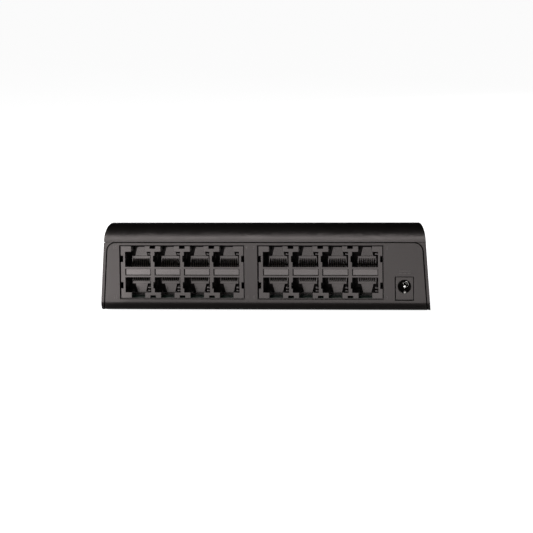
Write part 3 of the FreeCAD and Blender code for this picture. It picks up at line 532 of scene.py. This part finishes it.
# The contact colour is partly painted shade: its grey tone is the thin gold over nickel, its
# dimness is painted shade for the wires deep in the ports.
shaded_contact_gold = bare_metal("shaded_contact_gold", (0.26, 0.235, 0.2), (0.17, 0.155, 0.13), 0.32)
clothe([f"port_{number:02d}_contacts" for number in range(1, 17)], shaded_contact_gold)
tinned = bare_metal("tinned_pins", (0.62, 0.61, 0.58), (0.45, 0.44, 0.42), 0.4)
clothe(["jack_block_left_pins", "jack_block_right_pins"], tinned)

# ---- DC inlet ----
# A black moulded inlet with a nickel-plated centre pin, a sprung leaf under it and a ring contact
# at the bottom of the plug hole.

# The sheen turned down with depth is painted shade inside the plug hole.
inlet_black = moulded_plastic(
    "inlet_black", (0.008, 0.007, 0.0066), 0.36, grain=0.2, hollow_shade=(-51.3, -49.8, 0.04)
)
finished("dc_jack_housing", inlet_black, 0.15)
nickel = bare_metal("plated_nickel", (0.78, 0.77, 0.75), (0.66, 0.65, 0.63), 0.2, spread=0.05)
leaf_nickel = bare_metal(
    "spring_nickel", (0.86, 0.85, 0.83), (0.78, 0.77, 0.75), 0.34, spread=0.05
)
clothe(["dc_leaf_spring"], leaf_nickel)
finished("dc_ring_contact", nickel, 0.08)
finished("dc_centre_pin", nickel, 0.06)

# ---- Main board ----
# Glass-epoxy board under green solder mask. Copper tracks show through the mask as slightly
# lighter lines.

MASK_GREEN = (0.003, 0.03, 0.018)
TRACK_GREEN = (0.006, 0.05, 0.03)
TRACKS = [("Scale", 160.0), ("Mortar Size", 0.03), ("Brick Width", 1.6), ("Row Height", 0.2)]
board_green, tree, shader = new_material("board_green")
shader.inputs["Roughness"].default_value = 0.32
shader.inputs["Specular IOR Level"].default_value = 0.25
place = put(tree, "ShaderNodeTexCoord").outputs["Object"]
tracks = put(tree, "ShaderNodeTexBrick", [("Vector", place)], values=TRACKS).outputs["Fac"]
tree.links.new(shade(tree, tracks, MASK_GREEN, TRACK_GREEN), shader.inputs["Base Color"])
clothe(["main_board"], board_green)

# ---- Parts on the board ----
# Epoxy packages, a finned heatsink on its silicone pad, electrolytic capacitors, an inductor,
# a crystal and small ceramic parts. All but the heatsink and its pad are soldered.

epoxy = moulded_plastic(
    "package_epoxy", (0.018, 0.018, 0.019), 0.5, grain=0.1, relief=0.2, rub=0.0, dust=0.1
)
clothe(["switch_chip", "memory_chip", "lan_transformers", "regulators"], epoxy)
silicone = moulded_plastic("silicone_pad", (0.40, 0.44, 0.52), 0.7, grain=0.2, rub=0.0)
clothe(["thermal_pad"], silicone)
aluminium = bare_metal("sink_aluminium", (0.60, 0.61, 0.62), (0.5, 0.51, 0.52), 0.45, grain=300.0)
clothe(["heatsink"], aluminium)
sleeve = moulded_plastic("capacitor_sleeve", (0.014, 0.016, 0.035), 0.25, relief=0.0, rub=0.0)
clothe(["capacitors"], sleeve)
ferrite = moulded_plastic(
    "pressed_ferrite", (0.06, 0.06, 0.062), 0.6, grain=0.12, relief=0.4, rub=0.0
)
clothe(["inductor"], ferrite)
clothe(["crystal"], bare_metal("drawn_can", (0.7, 0.7, 0.69), (0.6, 0.6, 0.59), 0.28))
ceramic = moulded_plastic("ceramic_chip", (0.34, 0.27, 0.19), 0.4, grain=0.1, rub=0.0)
clothe(["small_parts"], ceramic)

# ---- Lights and window ----
# Seventeen LEDs on the board light up a clear moulding of pipes. It stands behind a smoked
# plastic strip that is let into the LED side.

CLEAR_IOR = 1.49
FLOW_GRAIN = 0.8
FLOW_SPREAD = 0.06


def clear_plastic(name, colour, roughness, passes):
    """Clear moulded plastic with a faint flow mottle in its gloss."""
    material, tree, shader = new_material(name)
    shader.inputs["Base Color"].default_value = (*colour, 1.0)
    shader.inputs["Transmission Weight"].default_value = passes
    shader.inputs["IOR"].default_value = CLEAR_IOR
    texture = put(
        tree,
        "ShaderNodeGroup",
        settings=[("node_tree", MOULD_TEXTURE)],
        values=[("Grain mm", FLOW_GRAIN)],
    )
    mottle = texture.outputs["Mottle"]
    gloss = rescaled(tree, mottle, 0.0, 1.0, roughness, roughness + FLOW_SPREAD)
    tree.links.new(gloss, shader.inputs["Roughness"])
    return material


lens_milk = moulded_plastic("led_lens", (0.62, 0.66, 0.55), 0.25, relief=0.0, rub=0.0)
clothe(["status_leds"], lens_milk)
clothe(["light_pipes"], clear_plastic("clear_pipes", (0.9, 0.92, 0.92), 0.06, 0.9))
smoked = clear_plastic("smoked_window", (0.012, 0.012, 0.013), 0.05, 0.35)
finished("led_window", smoked, 0.15)

# ---- Numbers on the window ----
# The port numbers, pad-printed in pale grey ink on the smoked strip, each under its light. The
# light at the far left shows power and has no number.

WINDOW_FACE = 52.3
LIGHT_PITCH = 6.0
PRINT_HEIGHT = 1.2
PRINT_LEVEL = 9.7
PRINT_THICKNESS = 0.06
print_grey = moulded_plastic(
    "print_grey", (0.36, 0.36, 0.35), 0.55, grain=0.1, relief=0.0, rub=0.0
)
turned = Matrix.Rotation(math.pi, 4, "Z") @ Matrix.Rotation(QUARTER_TURN, 4, "X")
printed = []
for port in range(1, 17):
    spot = Matrix.Translation(Vector(((8 - port) * LIGHT_PITCH, WINDOW_FACE, PRINT_LEVEL)) * MM)
    number = lettering(str(port), PRINT_HEIGHT, PRINT_THICKNESS, bevel_mm=0.01)
    printed.append((number, spot @ turned))
gathered("light_numbers", printed, print_grey)

# ---- Screws ----
# Black zinc-plated steel screws hold the two shells together, from wells under the posts. Tinned
# ones hold the board on its bosses.

screw_black = bare_metal("black_zinc", (0.10, 0.10, 0.10), (0.05, 0.05, 0.052), 0.38)
clothe(["board_screws"], tinned)
finished("case_screws", screw_black, 0.12)

# ---- Feet and label ----
# Four moulded rubber feet, stuck in their seats in the floor of the base case. Between them is a
# blank label of pale grey film.

foot_rubber = moulded_plastic(
    "foot_rubber", (0.014, 0.014, 0.014), 0.72, grain=0.25, relief=0.3, rub=0.3, dust=0.4
)
finished("rubber_feet", foot_rubber, 0.25)
label_film = moulded_plastic("label_film", (0.42, 0.42, 0.41), 0.45, relief=0.02, rub=0.0)
finished("rating_label", label_film, 0.03)

# ---- Floor and room ----
# Matt white paper under the switch, in a room with almost no light of its own. The paper gives
# off a little light to the camera only, so that it stays pale under weak lights.

FLOOR_HALF = 8.0
PAPER_WHITE = (0.86, 0.86, 0.86, 1.0)
PAPER_GLOW = 0.95
ROOM_LIGHT = 0.014
WHITE = (1.0, 1.0, 1.0, 1.0)
sheet = bmesh.new()
bmesh.ops.create_grid(sheet, x_segments=1, y_segments=1, size=FLOOR_HALF)
floor_mesh = mesh_of(sheet, "studio_floor")
floor = linked("studio_floor", floor_mesh)
paper, tree, shader = new_material("studio_paper")
shader.inputs["Base Color"].default_value = PAPER_WHITE
shader.inputs["Roughness"].default_value = 0.9
shader.inputs["Specular IOR Level"].default_value = 0.0
shader.inputs["Emission Color"].default_value = WHITE
seen = put(tree, "ShaderNodeLightPath").outputs["Is Camera Ray"]
glow = put(tree, "ShaderNodeMath", [(0, seen)], [("operation", "MULTIPLY")], [(1, PAPER_GLOW)])
tree.links.new(glow.outputs[0], shader.inputs["Emission Strength"])
floor_mesh.materials.append(paper)

room = bpy.data.worlds.new("studio_room")
room.use_nodes = True
room.node_tree.nodes["Background"].inputs["Color"].default_value = WHITE
room.node_tree.nodes["Background"].inputs["Strength"].default_value = ROOM_LIGHT
bpy.context.scene.world = room
bpy.context.scene.view_settings.view_transform = "Standard"

# ---- Studio lights ----
# A broad low soft box before the jack side, two panels that light it up from the table, and two
# smaller boxes behind the switch.

TABLE_LIGHT_Y = -0.4865
TABLE_LIGHT_DEPTH = 0.855
TABLE_LIGHT_RISE = 0.002
TABLE_LIGHTS = [("table_glow", -0.425, 1.03, 2.0), ("table_glow_left", -0.54, 0.94, 1.85)]
SWITCH_MIDDLE = (0, 0, 0.02)


def soft_light(name, position, target, width, height, radiance):
    """Rectangular soft box of the stated brightness, facing its target."""
    data = bpy.data.lights.new(name, "AREA")
    data.shape = "RECTANGLE"
    data.size = width
    data.size_y = height
    data.energy = radiance * math.pi * width * height
    lamp = linked(name, data)
    lamp.location = position
    towards = Vector(target) - Vector(position)
    lamp.rotation_euler = towards.to_track_quat("-Z", "Y").to_euler()
    return lamp


soft_light(
    "front_box",
    position=(-0.55, -1.1, 0.3),
    target=(-0.55, 0, 0.12),
    width=1.5,
    height=0.24,
    radiance=7.6,
)
for name, middle, width, radiance in TABLE_LIGHTS:
    lying = (middle, TABLE_LIGHT_Y, TABLE_LIGHT_RISE)
    overhead = (middle, TABLE_LIGHT_Y, 1.0)
    panel = soft_light(name, lying, overhead, width, TABLE_LIGHT_DEPTH, radiance)
    panel.visible_camera = False
soft_light(
    "back_left_box",
    position=(-0.75, 0.95, 0.42),
    target=SWITCH_MIDDLE,
    width=0.9,
    height=0.5,
    radiance=7.0,
)
soft_light(
    "back_right_box",
    position=(0.85, 0.8, 0.4),
    target=SWITCH_MIDDLE,
    width=0.8,
    height=0.45,
    radiance=6.0,
)

# ---- Camera ----
# A long lens that looks down a little on the jack side, from slightly to the right of its
# middle. Its own shift frames the switch.

CAMERA_AIM = Vector((0.0, 0.0, 0.021))
CAMERA_YAW = math.radians(6.866)
CAMERA_RISE = math.radians(6.297)
CAMERA_ROLL = math.radians(0.704)
CAMERA_DISTANCE = 1.5076
SENSOR_WIDTH = 36.0
FOCAL_LENGTH = 210.28
SHIFT = (-0.0206, -0.0197)
lens = bpy.data.cameras.new("jack_side_view")
lens.sensor_width = SENSOR_WIDTH
lens.lens = FOCAL_LENGTH
lens.shift_x, lens.shift_y = SHIFT
camera = linked("jack_side_view", lens)
away = Vector((math.sin(CAMERA_YAW), -math.cos(CAMERA_YAW), 0.0)) * math.cos(CAMERA_RISE)
away.z = math.sin(CAMERA_RISE)
camera.location = CAMERA_AIM + away * CAMERA_DISTANCE
facing = (-away).to_track_quat("-Z", "Y").to_matrix().to_4x4()
camera.rotation_euler = (facing @ Matrix.Rotation(-CAMERA_ROLL, 4, "Z")).to_euler()
bpy.context.scene.camera = camera
